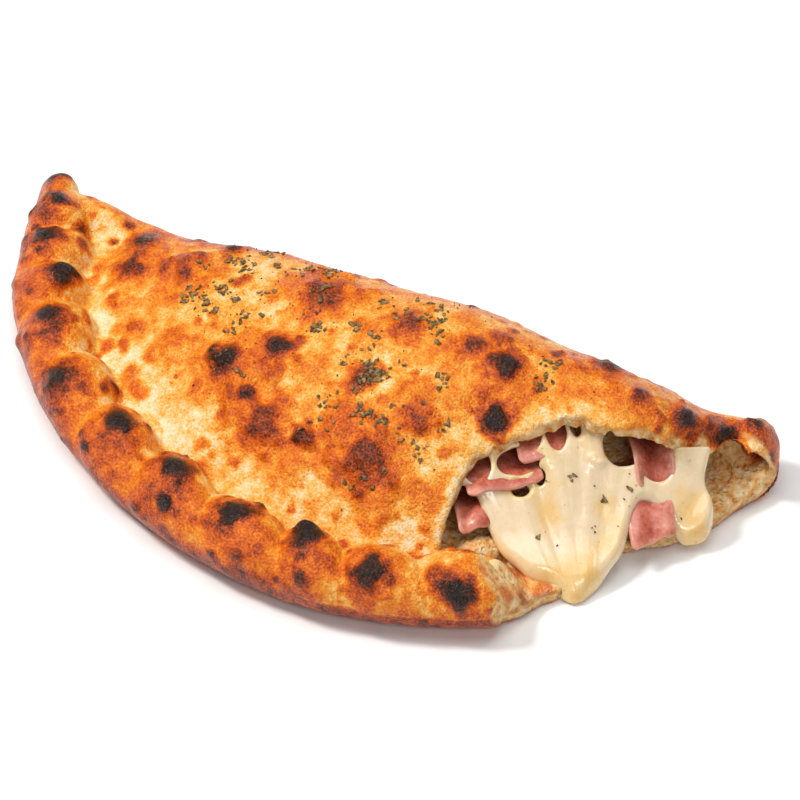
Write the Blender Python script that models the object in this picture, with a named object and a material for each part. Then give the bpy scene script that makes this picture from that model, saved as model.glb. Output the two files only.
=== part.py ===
"""A calzone: a round of pizza dough folded over ham and melted cheese, its edge rolled into a
rope-like rim. One corner of the rim and the lid is torn away, so the filling shows and runs out.

Frame: +X along the fold from the whole tip to the torn one, +Y from the rim to the fold, +Z up.
The origin is on the table, under the middle of the bounding box.
Run it with: blender --background --python part.py
"""

import math

import bmesh
import bpy
from mathutils import Matrix, Vector

MM = 0.001

# The half-moon in plan: the middle line of the rolled rim, from tip to tip round the front
LEFT_REACH = 143 * MM  # from the middle of the fold to the whole tip
RIGHT_REACH = 136 * MM  # from the middle of the fold to the torn tip
FRONT_REACH = 121.5 * MM  # from the line between the tips to the front
LEAN = 13.5 * MM  # how far the fullest part of the front lies towards the torn tip
RIGHT_POWER = 1.74  # below 2 draws the torn side in towards a point
LEFT_PAST = 0.065  # radians the rim runs on past the line between the tips
RIGHT_PAST = 0.09
FLARE = 9 * MM  # how far the whole tip turns outward, like a horn
FLARE_START = 0.25  # the share of the front's reach at which the flare begins
FOLD_BULGE = 7 * MM  # how far the fold swells back behind that line
FOLD_DIP = (4 * MM, -90 * MM, 28 * MM)  # how far it sinks in again, at which x, and how wide
FOLD_Y = 61.4 * MM  # where that line lies in Y
MIDDLE_X = 7.2 * MM  # where the middle of the fold lies in X

# The lid and the base
DOME_HEIGHT = 52 * MM
LEFT_SINK = 0.15  # how much lower the lid gets for every unit towards the whole tip
SINK_START = 30 * MM  # the x from which it sinks
GROOVE_HEIGHT = 12 * MM  # where the lid dips in behind the rim
GROOVE_INSET = 11 * MM  # from the middle line of the rim
RISE_LEFT = 98 * MM  # distance over which the lid climbs from the groove to its top
RISE_RIGHT = 30 * MM  # the same beside the torn tip, where it is steeper
STEEPENS = (50 * MM, 120 * MM)  # the x between which one turns into the other
FALL = 42 * MM  # distance over which it drops again to the fold
FOLD_HEIGHT = 13 * MM  # the widest level of the rounded fold
FOLD_SHARE = 0.985  # how much shorter the fold is than the front's span
BASE_ROUNDING = 12 * MM  # radius under the fold
LID_WALL = 6 * MM
BASE_WALL = 5 * MM
FOLD_WALL = 7 * MM
POCKET_INSET = 17 * MM  # from the middle line of the rim to the filling
POCKET_TIP_INSET = 7 * MM  # the same at the torn tip
THINNEST = 1.2 * MM  # the least height of a half-moon body inside its edge
DOME_SPAN = (0.02 * math.pi, 0.98 * math.pi)  # how far round the front the dome reaches
POCKET_SPAN = (0.07 * math.pi, 0.97 * math.pi)  # how far round the front the pocket reaches

# The rolled rim
RIM_WIDTH = 26 * MM
RIM_HEIGHT = 24 * MM
LEFT_TIP = (20 * MM, 24 * MM)  # width and height of the whole tip
RIGHT_TIP = (19 * MM, 25 * MM)
TIP_TAPER = 42 * MM  # length over which the rim thickens from a tip
CRIMP_PITCH = 21 * MM
CRIMP_DEPTH = 2.2 * MM
CRIMP_SLANT = 0.35  # how far a crimp leans round the roll, in pitches
CRIMP_MEAN = 0.6  # keeps the crimped roll as wide as the plain one
CRIMP_FACE = math.radians(135)  # where round the roll the crimps are deepest: its upper, inner face
RIM_END = (4, 0.3)  # rings over which an end of the roll closes, and its share of the radius there

# The torn corner. A tear is a curve of (along, out) in mm: along the mouth towards the torn tip,
# and straight out of the mouth, both from a place on the axis of the half-moon.
MOUTH_TURN = math.atan2(0.6, 0.8)  # the mouth's direction, turned this far from X
MOUTH_ORIGIN = (MIDDLE_X - 1 * MM, FOLD_Y - 66 * MM)
UPPER_TEAR = ((28, 75), (31, 57), (36, 47), (42, 39), (48, 32), (56, 31), (64, 30), (71, 28), (79, 27),
              (89, 31), (96, 35), (105, 35), (115, 36), (128, 35), (137, 36), (147, 37), (170, 40))
LOWER_TEAR = ((40, 92), (47, 86), (55, 81), (65, 76), (74, 72), (83, 64), (91, 56), (99, 57),
              (109, 56), (120, 54.5), (130, 49), (141, 42), (151, 38), (170, 36))
TORN_FLOOR = (5.5 * MM, 8 * MM)  # height of dough left inside the lower tear, whole end and torn end
FLOOR_STEP = (80 * MM, 100 * MM)  # along the mouth, where it goes from the first height to the second
STUMP = (40 * MM, 64 * MM)  # where the torn end of the rim starts to drop and where it reaches the table
STUMP_INSET = (12 * MM, 17 * MM)  # from the middle line of the rim, where the stump gives way to the floor
ABOVE_RIM = (2 * MM, 3 * MM)  # how far over the rim the cut starts, and the most it rises
TIP_HOLLOW = (138, 33, 15.5, 13, 10, 7.5)  # along, out, height and the three radii
SHOULDERS = ((-132, -3, 10.5, 16, 8, 9.5), (125, 0, 13.5, 17, 8.5, 11))  # x, y, height and the three radii
TOOL_REACH = 0.15  # how far out the cutting bodies of the tears go
TOOL_TOP = 0.09
TOOL_BOTTOM = -0.01

# The filling
CHEESE_LIP = (22 * MM, 33 * MM)  # height of the cheese under the upper tear, whole end and torn end
LIP_RISE = (50 * MM, 75 * MM)  # along the mouth, where it goes from the first height to the second
CHEESE_START = 6 * MM  # how far behind the upper tear the cheese starts to slope down
CHEESE_FRONT = 9 * MM  # height where it reaches the lower tear
CHEESE_END = 0.87 * math.pi  # how far round the front the filling goes
TONGUE = ((40, 84, 21, 19), (50, 81.5, 19, 17), (58, 79, 17, 14), (64, 76.5, 14, 12), (70, 74, 10, 9),
          (74, 72.5, 6.5, 6), (76.5, 72, 4, 4))  # out, along, half width, height: cheese over the tear
TONGUE_TIP = 1.2 * MM  # how far above the table the cheese stops
LIP_TOOL = (55 * MM, 125 * MM, 30 * MM)  # along from, along to, out from: where it is kept off the dough
LIP_GAP = 1.6 * MM  # how far beyond the lower tear
STRANDS = (  # (along, out, height) of points on the stretched threads of cheese
    ((67, 18, 26), (68, 29, 30), (71, 38, 26), (75, 47, 17)),
    ((76, 18, 28), (77, 28, 32), (79, 36, 28), (81, 44, 19)),
    ((112, 20, 26), (113, 31, 27), (115, 38, 21.5), (114, 47, 12)),
)
STRAND_RADIUS = 1.4 * MM
HOLLOW = (99, 28, 33, 9, 12, 9)  # along, out, height and the three radii of the open bubble
HAM_THICKNESS = 2.2 * MM
HAM_CORNER = 0.45  # share of its width a slice loses at its two ends
HAM_EDGE = 0.35  # share of its thickness it loses at its sides
HAM_WAVES = (5, 0.4)  # radians of ruffle from the middle to a side, and from one step out to the next
HAM_ROOM = 0.2 * MM  # more than the clearance, between ham and dough
DEEP_OUT = 40 * MM  # out of the mouth, beyond which a slice lies on the torn floor with no lid over it
# Slices of ham: (along from, along to, ruffle, (out, height) from inside the food to the mouth)
HAM = (
    (43, 68, 1.2, ((4, 17), (16, 21), (27, 24), (35, 25), (41, 23))),
    (63, 84, 0.8, ((2, 26), (12, 29), (22, 31), (29, 32), (33, 29))),
    (39, 54, 1.0, ((20, 9), (30, 12), (38, 15), (44, 18), (49, 19), (52, 16))),
    (104, 115, 0.6, ((8, 21), (18, 25.5), (28, 28.5), (35, 26), (39, 23), (42, 18.5))),
    (99, 115, 1.0, ((20, 8), (32, 12), (42, 15), (50, 15), (56, 12), (60, 10.4))),
)

CLEARANCE = 0.9 * MM  # gap between touching solids
SHARP = math.radians(50)  # edges sharper than this are not shaded smooth


def clear_scene():
    for obj in list(bpy.data.objects):
        bpy.data.objects.remove(obj, do_unlink=True)


def material(name, colour, roughness):
    mat = bpy.data.materials.new(name)
    mat.use_nodes = True
    shader = mat.node_tree.nodes["Principled BSDF"]
    shader.inputs["Base Color"].default_value = (*colour, 1)
    shader.inputs["Roughness"].default_value = roughness
    shader.inputs["Metallic"].default_value = 0
    return mat


def new_object(name, bm, mat=None):
    bmesh.ops.recalc_face_normals(bm, faces=bm.faces)
    if bm.calc_volume(signed=True) < 0:
        bmesh.ops.reverse_faces(bm, faces=bm.faces)
    mesh = bpy.data.meshes.new(name)
    bm.to_mesh(mesh)
    bm.free()
    obj = bpy.data.objects.new(name, mesh)
    bpy.context.scene.collection.objects.link(obj)
    if mat:
        mesh.materials.append(mat)
    else:
        obj.hide_render = True
        obj.display_type = "WIRE"
    return obj


def combine(obj, operation, *others):
    """Add or remove other solids, in order. All are closed, and EXACT loses the crust at a later cut."""
    for other in others:
        step = obj.modifiers.new(operation.lower(), "BOOLEAN")
        step.operation = operation
        step.solver = "MANIFOLD"
        step.object = other


# ---------------------------------------------------------------- the half-moon


def middle_line(angle):
    """A point on the middle line of the rim: 0 is the whole tip, pi the torn one. y is from the fold."""
    c, s = math.cos(angle), math.sin(angle)
    if c > 0:
        x = -LEFT_REACH * c - FLARE * max(1 - s / FLARE_START, 0.0) ** 2
    else:
        x = RIGHT_REACH * (-c) ** (2 / RIGHT_POWER)
    return Vector((x + LEAN * s, -FRONT_REACH * s, 0))


def outward(angle):
    along = middle_line(angle + 0.01) - middle_line(angle - 0.01)
    return Vector((along.y, -along.x, 0)).normalized()


HALF_TURN = 180  # steps
MIDDLE_LINE = [middle_line(math.pi * i / HALF_TURN) for i in range(HALF_TURN + 1)]


def inset(x, y):
    """How far a plan point lies inside the middle line of the rim, or minus how far outside."""
    here = Vector((x, y, 0))
    gap, nearest = min(((here - point).length, i) for i, point in enumerate(MIDDLE_LINE))
    away = (here - MIDDLE_LINE[nearest]).dot(outward(math.pi * nearest / HALF_TURN))
    return -gap if away > 0 else gap


def blend(low, high, value):
    t = min(max((value - low) / (high - low), 0.0), 1.0)
    return t * t * (3 - 2 * t)


def fold_edge(x):
    depth, place, width = FOLD_DIP
    return FOLD_BULGE * (1 - (x / LEFT_REACH) ** 6) - depth * math.exp(-(((x - place) / width) ** 2))


def lid_height(x, y, wall=0.0):
    crown = DOME_HEIGHT - LEFT_SINK * max(SINK_START - x, 0.0)
    rise = RISE_LEFT + (RISE_RIGHT - RISE_LEFT) * blend(*STEEPENS, x)
    climb = min(max(inset(x, y) - GROOVE_INSET, 0.0) / rise, 1.0)
    z = GROOVE_HEIGHT + (crown - GROOVE_HEIGHT) * (1 - (1 - climb) ** 2)
    back = min(max(fold_edge(x) - y - wall, 0.0) / (FALL - wall), 1.0)
    return FOLD_HEIGHT + (z - wall - FOLD_HEIGHT) * math.sqrt(1 - (1 - back) ** 2)


def base_height(x, y, wall=0.0):
    back = min(max(fold_edge(x) - y - wall, 0.0) / (BASE_ROUNDING - wall / 2), 1.0)
    return FOLD_HEIGHT - (FOLD_HEIGHT - wall) * math.sqrt(1 - (1 - back) ** 2)


def eased(n, start=0.0, end=1.0):
    """n + 1 numbers from start to end, closer together at both ends."""
    return [start + (end - start) * (1 - math.cos(math.pi * i / n)) / 2 for i in range(n + 1)]


def half_moon(front_inset, back_inset, top, low, angles, across=10):
    """A closed body over a half-moon, between low(x, y) and top(x, y), with rounded sides."""
    bm = bmesh.new()
    rows = []
    for angle in angles:
        front = middle_line(angle) - outward(angle) * front_inset(angle)
        x_back = front.x * FOLD_SHARE
        y_back = fold_edge(x_back) - back_inset
        lid, base = [], []
        for c in eased(across):
            x, y = front.x + (x_back - front.x) * c, front.y + (y_back - front.y) * c
            high, deep = top(x, y), low(x, y)
            place = (x + MIDDLE_X, y + FOLD_Y)
            if c in (0.0, 1.0):
                lid.append(bm.verts.new((*place, (high + deep) / 2)))
                base.append(lid[-1])
            else:
                lid.append(bm.verts.new((*place, max(high, deep + THINNEST))))
                base.append(bm.verts.new((*place, deep)))
        rows.append((lid, base))
    for (lid, base), (next_lid, next_base) in zip(rows, rows[1:]):
        for i in range(across):
            for side, other in ((lid, next_lid), (base, next_base)):
                bm.faces.new((side[i], side[i + 1], other[i + 1], other[i]))
    for lid, base in (rows[0], rows[-1]):
        bm.faces.new(lid + base[-2:0:-1])
    return bm


def close_slab(bm, top, under):
    """Join two grids of points, one above the other, into a closed body."""
    for grid in (top, under):
        for row, following in zip(grid, grid[1:]):
            for j in range(len(row) - 1):
                bm.faces.new((row[j], row[j + 1], following[j + 1], following[j]))
    for i in (0, -1):
        for j in range(len(top[i]) - 1):
            bm.faces.new((top[i][j], top[i][j + 1], under[i][j + 1], under[i][j]))
    for j in (0, -1):
        for i in range(len(top) - 1):
            bm.faces.new((top[i][j], top[i + 1][j], under[i + 1][j], under[i][j]))


def close_tube(bm, loops):
    """Join rings of points into a closed tube."""
    for loop, following in zip(loops, loops[1:]):
        for k in range(len(loop)):
            bm.faces.new((loop[k], loop[k - 1], following[k - 1], following[k]))
    bm.faces.new(loops[0])
    bm.faces.new(loops[-1][::-1])


def dome():
    return half_moon(lambda angle: 0.0, 0.0, lid_height, base_height, eased(30, *DOME_SPAN))


def pocket_angles():
    return eased(28, *POCKET_SPAN)


def pocket_inset(angle):
    return POCKET_INSET + (POCKET_TIP_INSET - POCKET_INSET) * blend(0.6 * math.pi, math.pi, angle)


def pocket():
    return half_moon(
        pocket_inset,
        FOLD_WALL,
        lambda x, y: lid_height(x, y, LID_WALL),
        lambda x, y: base_height(x, y, BASE_WALL),
        pocket_angles(),
    )


def rim(rings=88, sides=12):
    """The rolled edge: a flattened roll round the front, with slanting crimps and closed ends."""
    bm = bmesh.new()
    loops = []
    travelled = 0.0
    before = None
    for i in range(rings + 1):
        angle = -LEFT_PAST + (math.pi + LEFT_PAST + RIGHT_PAST) * i / rings
        centre = middle_line(angle)
        travelled += (centre - before).length if before else 0.0
        before = centre
        tip = LEFT_TIP if angle < math.pi / 2 else RIGHT_TIP
        from_tip = LEFT_REACH * min(angle, math.pi - angle) / TIP_TAPER
        full = math.sin(min(max(from_tip, 0.0), 1.0) * math.pi / 2)
        half_w = (tip[0] + (RIM_WIDTH - tip[0]) * full) / 2
        half_h = (tip[1] + (RIM_HEIGHT - tip[1]) * full) / 2
        end = min(min(i, rings - i) / RIM_END[0], 1.0)
        closing = RIM_END[1] + (1 - RIM_END[1]) * math.sqrt(1 - (1 - end) ** 2)
        loop = []
        for k in range(sides):
            turn = 2 * math.pi * k / sides
            from_face = math.remainder(turn - CRIMP_FACE, 2 * math.pi)
            inner_top = 0.5 + 0.5 * math.cos(from_face)
            phase = travelled / CRIMP_PITCH + CRIMP_SLANT * from_face / math.pi
            crimp = CRIMP_DEPTH * inner_top * (abs(math.sin(math.pi * phase)) - CRIMP_MEAN) * full
            place = centre + outward(angle) * (half_w + crimp) * math.cos(turn) * closing
            z = half_h + (half_h + crimp) * math.sin(turn) * closing
            loop.append(bm.verts.new((place.x + MIDDLE_X, place.y + FOLD_Y, max(z, 0.0))))
        loops.append(loop)
    close_tube(bm, loops)
    return bm


# ---------------------------------------------------------------- the torn corner


def along_out(x, y):
    """Plan point in the row's frame -> (along the mouth, out of the mouth)."""
    c, s = math.cos(MOUTH_TURN), math.sin(MOUTH_TURN)
    x, y = x - MOUTH_ORIGIN[0], y - MOUTH_ORIGIN[1]
    return x * c + y * s, x * s - y * c


def from_mouth(along, out):
    c, s = math.cos(MOUTH_TURN), math.sin(MOUTH_TURN)
    return along * c + out * s + MOUTH_ORIGIN[0], along * s - out * c + MOUTH_ORIGIN[1]


def tear(curve, along):
    """How far out a tear lies at this place along the mouth."""
    a = along / MM
    if a <= curve[0][0]:
        return curve[0][1] * MM
    for (a0, out0), (a1, out1) in zip(curve, curve[1:]):
        if a <= a1:
            return (out0 + (out1 - out0) * (a - a0) / (a1 - a0)) * MM
    return curve[-1][1] * MM


def torn_floor(x, y):
    """What the upper tear leaves: a stump of rim that runs down to the table, then a thin floor."""
    along, _ = along_out(x, y)
    start, end = STUMP
    ramp = (RIM_HEIGHT + ABOVE_RIM[0]) * (1 - (along - start) / (end - start))
    flat = TORN_FLOOR[0] + (TORN_FLOOR[1] - TORN_FLOOR[0]) * blend(*FLOOR_STEP, along)
    ramp = min(max(ramp, flat), RIM_HEIGHT + ABOVE_RIM[1])
    on_rim = 1 - blend(*STUMP_INSET, inset(x - MIDDLE_X, y - FOLD_Y))
    return flat + (ramp - flat) * on_rim


def tear_tool(curve, floor, steps=42, columns=9):
    """Everything outside a tear and above floor(x, y)."""
    bm = bmesh.new()
    low, high = [], []
    first, last = curve[0][0] * MM, curve[-1][0] * MM
    for i in range(steps + 1):
        along = first + (last - first) * i / steps
        start = tear(curve, along)
        low_row, high_row = [], []
        for j in range(columns + 1):
            x, y = from_mouth(along, start + (TOOL_REACH - start) * (j / columns) ** 1.5)
            low_row.append(bm.verts.new((x, y, floor(x, y))))
            high_row.append(bm.verts.new((x, y, TOOL_TOP)))
        low.append(low_row)
        high.append(high_row)
    close_slab(bm, high, low)
    return bm


def ellipsoid(centre, radii, turn=0.0):
    bm = bmesh.new()
    bmesh.ops.create_uvsphere(bm, u_segments=16, v_segments=10, radius=MM)
    bm.transform(Matrix.Diagonal((*radii, 1)))
    bm.transform(Matrix.Rotation(turn, 4, "Z"))
    bm.transform(Matrix.Translation(centre))
    return bm


def mouth_hollow(along, out, z, *radii):
    return ellipsoid((*from_mouth(along * MM, out * MM), z * MM), radii, MOUTH_TURN)


def make_crust(mat):
    crust = new_object("crust", dome(), mat)
    combine(crust, "UNION", new_object("rim_tool", rim()))
    for i, (x, y, z, *radii) in enumerate(SHOULDERS):
        centre = (x * MM + MIDDLE_X, y * MM + FOLD_Y, z * MM)
        combine(crust, "UNION", new_object(f"shoulder_tool_{i + 1}", ellipsoid(centre, radii)))
    room = new_object("pocket_tool", pocket())
    combine(room, "UNION", new_object("tip_hollow_tool", mouth_hollow(*TIP_HOLLOW)))
    combine(
        crust,
        "DIFFERENCE",
        new_object("lower_tear_tool", tear_tool(LOWER_TEAR, lambda x, y: TOOL_BOTTOM)),
        new_object("upper_tear_tool", tear_tool(UPPER_TEAR, torn_floor)),
        room,
    )
    return crust


# ---------------------------------------------------------------- the cheese


def cheese_top(x, y):
    under_lid = lid_height(x, y, LID_WALL) - CLEARANCE
    along, out = along_out(x + MIDDLE_X, y + FOLD_Y)
    upper, lower = tear(UPPER_TEAR, along) - CHEESE_START, tear(LOWER_TEAR, along)
    across = (out - upper) / (lower - upper)
    lip = CHEESE_LIP[0] + (CHEESE_LIP[1] - CHEESE_LIP[0]) * blend(*LIP_RISE, along)
    slope = lip + (CHEESE_FRONT - lip) * max(across, 0.0)
    if across < 0:
        slope += DOME_HEIGHT * blend(0.0, 0.5, -across)
    return min(under_lid, max(slope, CHEESE_FRONT))


def cheese_filling():
    return half_moon(
        lambda angle: pocket_inset(angle) + CLEARANCE,
        FOLD_WALL + CLEARANCE,
        cheese_top,
        lambda x, y: base_height(x, y, BASE_WALL) + CLEARANCE,
        [angle for angle in pocket_angles()[1:] if angle < CHEESE_END],
    )


def cheese_tongue(sides=14):
    """The cheese that has run out over the torn edge and hangs down to a blunt drip."""
    bm = bmesh.new()
    loops = []
    for out, along, half_width, height in TONGUE:
        loop = []
        for k in range(sides):
            turn = 2 * math.pi * k / sides
            x, y = from_mouth((along + half_width * math.cos(turn)) * MM, out * MM)
            z = TONGUE_TIP + (height * MM - TONGUE_TIP) * (0.5 + 0.5 * math.sin(turn))
            loop.append(bm.verts.new((x, y, z)))
        loops.append(loop)
    close_tube(bm, loops)
    return bm


def curve_points(points, count):
    """Points of a smooth curve through the given ones, equally spaced by their order."""
    spots = [Vector(point) for point in points]
    spots = [spots[0] * 2 - spots[1], *spots, spots[-1] * 2 - spots[-2]]
    found = []
    for i in range(count + 1):
        place = i / count * (len(spots) - 3)
        k = min(int(place), len(spots) - 4)
        t = place - k
        a, b, c, d = spots[k : k + 4]
        linear = (c - a) * t
        square = (2 * a - 5 * b + 4 * c - d) * t**2
        cubic = (3 * b - a - 3 * c + d) * t**3
        found.append(b + (linear + square + cubic) / 2)
    return found


def strand(points, sides=6, count=9):
    bm = bmesh.new()
    loops = []
    path = [Vector((*from_mouth(a * MM, out * MM), z * MM)) for a, out, z in curve_points(points, count)]
    for i, centre in enumerate(path):
        forward = (path[min(i + 1, count)] - path[max(i - 1, 0)]).normalized()
        side = forward.cross(Vector((0, 0, 1))).normalized()
        up = side.cross(forward)
        loop = []
        for k in range(sides):
            turn = 2 * math.pi * k / sides
            loop.append(bm.verts.new(centre + (side * math.cos(turn) + up * math.sin(turn)) * STRAND_RADIUS))
        loops.append(loop)
    close_tube(bm, loops)
    return bm


def lip_tool(steps=30, columns=8):
    """The torn floor and a clear gap over and beyond it, kept free of the cheese that runs out."""
    first, last, inside = LIP_TOOL
    bm = bmesh.new()
    high, low = [], []
    for i in range(steps + 1):
        along = first + (last - first) * i / steps
        edge = tear(LOWER_TEAR, along)
        reach = edge + LIP_GAP - inside
        spots = [from_mouth(along, inside + reach * j / columns) for j in range(columns + 1)]
        high.append([bm.verts.new((x, y, torn_floor(x, y) + CLEARANCE)) for x, y in spots])
        low.append([bm.verts.new((x, y, -BASE_WALL)) for x, y in spots])
    close_slab(bm, high, low)
    return bm


def make_cheese(mat):
    cheese = new_object("cheese", cheese_filling(), mat)
    tongue = new_object("tongue_tool", cheese_tongue())
    combine(tongue, "DIFFERENCE", new_object("lip_tool", lip_tool()))
    combine(cheese, "UNION", tongue)
    combine(cheese, "DIFFERENCE", new_object("hollow_tool", mouth_hollow(*HOLLOW)))
    for i, points in enumerate(STRANDS):
        combine(cheese, "UNION", new_object(f"strand_tool_{i + 1}", strand(points)))
    for i, slice_of_ham in enumerate(HAM):
        combine(cheese, "DIFFERENCE", new_object(f"ham_tool_{i + 1}", ham_slice(*slice_of_ham, CLEARANCE)))
    return cheese


# ---------------------------------------------------------------- the ham


def clear_of_crust(x, y, z, room):
    """This height, kept so far below the lid, where there is one, and above the base."""
    plan = (x - MIDDLE_X, y - FOLD_Y)
    _, out = along_out(x, y)
    floor = base_height(*plan, BASE_WALL)
    if out > DEEP_OUT:
        return max(z, max(floor, torn_floor(x, y)) + room)
    return max(min(z, lid_height(*plan, LID_WALL) - room), floor + room)


def ham_slice(start, end, ruffle, profile, grow=0.0, along_steps=6, out_steps=8):
    """A slice of ham as a closed, bent sheet with rounded corners, grown on every side by this much."""
    middle, half = (start + end) / 2 * MM, (end - start) / 2 * MM
    room = HAM_THICKNESS / 2 + CLEARANCE + HAM_ROOM
    sheet = []
    for i, (out, z, _) in enumerate(curve_points([(out, z, 0) for out, z in profile], out_steps)):
        corner = 1 - HAM_CORNER * abs(2 * i / out_steps - 1) ** 4
        row = []
        for j in range(along_steps + 1):
            v = 2 * j / along_steps - 1
            x, y = from_mouth(middle + half * corner * v, out * MM)
            height = z * MM + ruffle * MM * math.sin(HAM_WAVES[0] * v + HAM_WAVES[1] * i)
            row.append(Vector((x, y, clear_of_crust(x, y, height, room))))
        sheet.append(row)
    bm = bmesh.new()
    top, under = [], []
    for i, row in enumerate(sheet):
        top.append([])
        under.append([])
        for j, point in enumerate(row):
            outward_run = sheet[min(i + 1, out_steps)][j] - sheet[max(i - 1, 0)][j]
            along_run = row[min(j + 1, along_steps)] - row[max(j - 1, 0)]
            across = along_run.cross(outward_run).normalized()
            if across.z < 0:
                across.negate()
            centre = point + outward_run.normalized() * grow * ((i == out_steps) - (i == 0))
            centre += along_run.normalized() * grow * ((j == along_steps) - (j == 0))
            thick = HAM_THICKNESS / 2 * (1 - HAM_EDGE * (2 * j / along_steps - 1) ** 4) + grow
            top[-1].append(bm.verts.new(centre + across * thick))
            under[-1].append(bm.verts.new(centre - across * thick))
    close_slab(bm, top, under)
    return bm


def make_whole(obj):
    """Apply the modifiers, keep the one connected piece and shade it smooth between its sharp edges."""
    mesh = bpy.data.meshes.new_from_object(obj.evaluated_get(bpy.context.evaluated_depsgraph_get()))
    bm = bmesh.new()
    bm.from_mesh(mesh)
    pieces, waiting = [], set(bm.faces)
    while waiting:
        piece, reached = set(), [waiting.pop()]
        while reached:
            face = reached.pop()
            piece.add(face)
            for edge in face.edges:
                for other in edge.link_faces:
                    if other in waiting:
                        waiting.remove(other)
                        reached.append(other)
        pieces.append(piece)
    keep = max(pieces, key=len)
    bmesh.ops.delete(bm, geom=[face for face in bm.faces if face not in keep], context="FACES")
    bmesh.ops.triangulate(bm, faces=bm.faces)
    bm.to_mesh(mesh)
    bm.free()
    mesh.shade_smooth()
    mesh.set_sharp_from_angle(angle=SHARP)
    obj.modifiers.clear()
    obj.data = mesh


def main():
    clear_scene()
    dough = material("baked_dough", (0.62, 0.24, 0.06), 0.6)
    melted = material("melted_cheese", (0.88, 0.74, 0.5), 0.35)
    cured = material("ham", (0.72, 0.3, 0.25), 0.45)
    make_whole(make_crust(dough))
    make_whole(make_cheese(melted))
    for i, slice_of_ham in enumerate(HAM):
        make_whole(new_object(f"ham_{i + 1}", ham_slice(*slice_of_ham), cured))


main()
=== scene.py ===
"""The looks of the calzone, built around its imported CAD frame.

Shapes are worked out in millimetres in the row frame: +X along the fold from the whole tip to the
torn one, +Y from the rolled rim to the fold, +Z up. Meshes are in metres.
"""

import math

import bpy
import numpy as np
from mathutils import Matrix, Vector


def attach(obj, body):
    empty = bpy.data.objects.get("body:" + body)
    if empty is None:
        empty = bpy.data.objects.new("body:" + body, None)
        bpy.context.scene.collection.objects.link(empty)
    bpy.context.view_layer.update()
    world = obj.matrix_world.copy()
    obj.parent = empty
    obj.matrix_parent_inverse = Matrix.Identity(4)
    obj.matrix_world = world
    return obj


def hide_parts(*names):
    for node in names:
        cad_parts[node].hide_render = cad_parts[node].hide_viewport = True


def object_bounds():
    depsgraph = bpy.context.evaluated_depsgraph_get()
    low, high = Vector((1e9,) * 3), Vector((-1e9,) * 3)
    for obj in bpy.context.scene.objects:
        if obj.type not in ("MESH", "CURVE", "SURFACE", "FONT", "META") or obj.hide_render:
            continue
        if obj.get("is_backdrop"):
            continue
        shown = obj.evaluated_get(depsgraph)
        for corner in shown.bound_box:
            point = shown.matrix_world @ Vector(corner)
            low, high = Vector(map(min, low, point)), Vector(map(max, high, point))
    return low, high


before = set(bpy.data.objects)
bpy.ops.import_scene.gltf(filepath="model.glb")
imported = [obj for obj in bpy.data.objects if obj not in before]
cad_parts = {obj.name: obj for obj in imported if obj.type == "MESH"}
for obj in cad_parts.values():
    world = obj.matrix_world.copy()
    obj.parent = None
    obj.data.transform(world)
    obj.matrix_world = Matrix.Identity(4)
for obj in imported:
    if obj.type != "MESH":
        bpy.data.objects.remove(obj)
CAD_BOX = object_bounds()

import openvdb
from mathutils import Matrix, Vector
from mathutils.bvhtree import BVHTree

MM = 0.001

# ---------------------------------------------------------------- the CAD model's shape

LEFT_REACH, RIGHT_REACH, FRONT_REACH = 143, 136, 121.5
LEAN, RIGHT_POWER, FLARE, FLARE_START = 13.5, 1.74, 9, 0.25
LEFT_PAST, RIGHT_PAST = 0.065, 0.09
FOLD_BULGE, FOLD_DIP = 7, (4, -90, 28)
FOLD_Y, MIDDLE_X = 61.4, 7.2
DOME_HEIGHT, LEFT_SINK, SINK_START = 52, 0.15, 30
GROOVE_HEIGHT, GROOVE_INSET = 12, 11
RISE_LEFT, RISE_RIGHT, STEEPENS, FALL = 98, 30, (50, 120), 42
FOLD_HEIGHT, FOLD_SHARE, BASE_ROUNDING = 13, 0.985, 12
LID_WALL, BASE_WALL, FOLD_WALL = 6, 5, 7
POCKET_INSET, POCKET_TIP_INSET, THINNEST = 17, 7, 1.2
DOME_SPAN, POCKET_SPAN = (0.02, 0.98), (0.07, 0.97)
RIM_WIDTH, RIM_HEIGHT = 26, 24
LEFT_TIP, RIGHT_TIP, TIP_TAPER = (20, 24), (19, 25), 42
CRIMP_PITCH, CRIMP_SLANT = 21, 0.35
MOUTH_COS, MOUTH_SIN = 0.8, 0.6
MOUTH_X, MOUTH_Y = MIDDLE_X - 1, FOLD_Y - 66
UPPER_TEAR = ((28, 75), (31, 57), (36, 47), (42, 39), (48, 32), (56, 31), (64, 30), (71, 28), (79, 27),
              (89, 31), (96, 35), (105, 35), (115, 36), (128, 35), (137, 36), (147, 37), (170, 40))
LOWER_TEAR = ((40, 92), (47, 86), (55, 81), (65, 76), (74, 72), (83, 64), (91, 56), (99, 57),
              (109, 56), (120, 54.5), (130, 49), (141, 42), (151, 38), (170, 36))
TORN_FLOOR, FLOOR_STEP = (5.5, 8), (80, 100)
STUMP, STUMP_INSET = (40, 64), (12, 17)
TIP_HOLLOW = (138, 33, 15.5, 13, 10, 7.5)
SHOULDERS = ((-132, -3, 10.5, 16, 8, 9.5), (125, 0, 13.5, 17, 8.5, 11))


def blend(low, high, value):
    t = np.clip((value - low) / (high - low), 0, 1)
    return t * t * (3 - 2 * t)


def mix(a, b, t):
    return a + (b - a) * t


def smooth_min(a, b, k):
    h = np.clip(0.5 + 0.5 * (b - a) / k, 0, 1)
    return b + (a - b) * h - k * h * (1 - h)


def smooth_max(a, b, k):
    return -smooth_min(-a, -b, k)


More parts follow.
